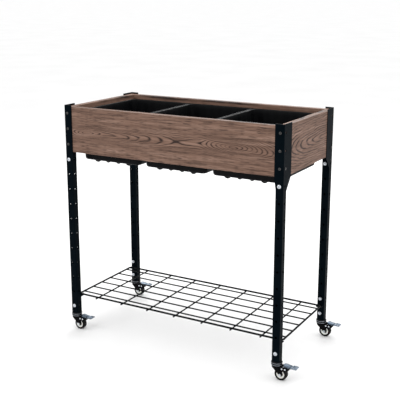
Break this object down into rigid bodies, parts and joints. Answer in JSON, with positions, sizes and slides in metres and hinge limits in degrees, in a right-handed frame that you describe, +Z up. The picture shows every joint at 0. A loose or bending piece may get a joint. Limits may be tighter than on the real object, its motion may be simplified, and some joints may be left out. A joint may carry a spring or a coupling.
{
  "type": "raised planter",
  "caption": "Raised rolling planter: a wood-look box with lift-out trays on perforated steel legs with a wire shelf and braked casters.",
  "frame": {"origin": "on the floor, midway between the four legs", "axes": "+X along the length, to the right seen from the front; +Y from the front to the back; +Z up"},
  "size_m": [0.819, 0.386, 0.757],
  "materials": {
    "powder_coat": "satin black powder coat",
    "wood_composite": "embossed wood-grain composite, matt mid brown",
    "tray_plastic": "black thin-walled moulded plastic",
    "zinc": "bright zinc plate",
    "black_fork": "black stove enamel on pressed steel",
    "wire_coat": "black coated steel wire",
    "tyre_rubber": "hard black rubber",
    "shoe_rubber": "black rubber",
    "wheel_core": "off-white moulded nylon",
    "socket_plastic": "black moulded plastic"
  },
  "bodies": {
    "planter_frame": {"leg_front_left": "powder_coat", "leg_front_right": "powder_coat", "leg_back_left": "powder_coat", "leg_back_right": "powder_coat", "board_front": "wood_composite", "board_back": "wood_composite", "board_left": "wood_composite", "board_right": "wood_composite", "board_screws": "zinc", "tray_rail_front": "powder_coat", "tray_rail_back": "powder_coat", "rail_screws": "zinc", "board_brackets": "powder_coat", "bracket_bolts": "zinc", "bracket_nuts": "zinc", "wire_shelf": "wire_coat", "shelf_clips": "powder_coat", "shelf_bolts": "zinc", "shelf_nuts": "zinc", "stem_sockets": "socket_plastic", "stem_front_left": "zinc", "stem_front_right": "zinc", "stem_back_left": "zinc", "stem_back_right": "zinc"},
    "lift_out_left": {"tray_left": "tray_plastic"},
    "lift_out_middle": {"tray_middle": "tray_plastic"},
    "lift_out_right": {"tray_right": "tray_plastic"},
    "swivel_front_left": {"race_front_left": "zinc", "fork_front_left": "black_fork", "axle_front_left": "zinc", "rivets_front_left": "zinc"},
    "wheel_front_left": {"hub_front_left": "wheel_core", "tyre_front_left": "tyre_rubber"},
    "brake_front_left": {"pedal_front_left": "zinc", "shoe_front_left": "shoe_rubber"},
    "swivel_front_right": {"race_front_right": "zinc", "fork_front_right": "black_fork", "axle_front_right": "zinc", "rivets_front_right": "zinc"},
    "wheel_front_right": {"hub_front_right": "wheel_core", "tyre_front_right": "tyre_rubber"},
    "brake_front_right": {"pedal_front_right": "zinc", "shoe_front_right": "shoe_rubber"},
    "swivel_back_left": {"race_back_left": "zinc", "fork_back_left": "black_fork", "axle_back_left": "zinc", "rivets_back_left": "zinc"},
    "wheel_back_left": {"hub_back_left": "wheel_core", "tyre_back_left": "tyre_rubber"},
    "brake_back_left": {"pedal_back_left": "zinc", "shoe_back_left": "shoe_rubber"},
    "swivel_back_right": {"race_back_right": "zinc", "fork_back_right": "black_fork", "axle_back_right": "zinc", "rivets_back_right": "zinc"},
    "wheel_back_right": {"hub_back_right": "wheel_core", "tyre_back_right": "tyre_rubber"},
    "brake_back_right": {"pedal_back_right": "zinc", "shoe_back_right": "shoe_rubber"}
  },
  "joints": [
    {"name": "tray_left_lift", "type": "slide", "parent": "planter_frame", "child": "lift_out_left", "axis": [0, 0, 1], "range_m": [0, 0.2]},
    {"name": "tray_middle_lift", "type": "slide", "parent": "planter_frame", "child": "lift_out_middle", "axis": [0, 0, 1], "range_m": [0, 0.2]},
    {"name": "tray_right_lift", "type": "slide", "parent": "planter_frame", "child": "lift_out_right", "axis": [0, 0, 1], "range_m": [0, 0.2]},
    {"name": "front_left_swivel", "type": "hinge", "parent": "planter_frame", "child": "swivel_front_left", "pos_m": [-0.368, -0.176, 0.05], "axis": [0, 0, 1], "continuous": true},
    {"name": "front_left_roll", "type": "hinge", "parent": "swivel_front_left", "child": "wheel_front_left", "pos_m": [-0.353, -0.176, 0.019], "axis": [0, 1, 0], "continuous": true},
    {"name": "front_left_brake", "type": "hinge", "parent": "swivel_front_left", "child": "brake_front_left", "pos_m": [-0.3375, -0.176, 0.039], "axis": [0, 1, 0], "range_deg": [0, 18]},
    {"name": "front_right_swivel", "type": "hinge", "parent": "planter_frame", "child": "swivel_front_right", "pos_m": [0.368, -0.176, 0.05], "axis": [0, 0, 1], "continuous": true},
    {"name": "front_right_roll", "type": "hinge", "parent": "swivel_front_right", "child": "wheel_front_right", "pos_m": [0.383, -0.176, 0.019], "axis": [0, 1, 0], "continuous": true},
    {"name": "front_right_brake", "type": "hinge", "parent": "swivel_front_right", "child": "brake_front_right", "pos_m": [0.3985, -0.176, 0.039], "axis": [0, 1, 0], "range_deg": [0, 18]},
    {"name": "back_left_swivel", "type": "hinge", "parent": "planter_frame", "child": "swivel_back_left", "pos_m": [-0.368, 0.176, 0.05], "axis": [0, 0, 1], "continuous": true},
    {"name": "back_left_roll", "type": "hinge", "parent": "swivel_back_left", "child": "wheel_back_left", "pos_m": [-0.353, 0.176, 0.019], "axis": [0, 1, 0], "continuous": true},
    {"name": "back_left_brake", "type": "hinge", "parent": "swivel_back_left", "child": "brake_back_left", "pos_m": [-0.3375, 0.176, 0.039], "axis": [0, 1, 0], "range_deg": [0, 18]},
    {"name": "back_right_swivel", "type": "hinge", "parent": "planter_frame", "child": "swivel_back_right", "pos_m": [0.368, 0.176, 0.05], "axis": [0, 0, 1], "continuous": true},
    {"name": "back_right_roll", "type": "hinge", "parent": "swivel_back_right", "child": "wheel_back_right", "pos_m": [0.383, 0.176, 0.019], "axis": [0, 1, 0], "continuous": true},
    {"name": "back_right_brake", "type": "hinge", "parent": "swivel_back_right", "child": "brake_back_right", "pos_m": [0.3985, 0.176, 0.039], "axis": [0, 1, 0], "range_deg": [0, 18]}
  ]
}
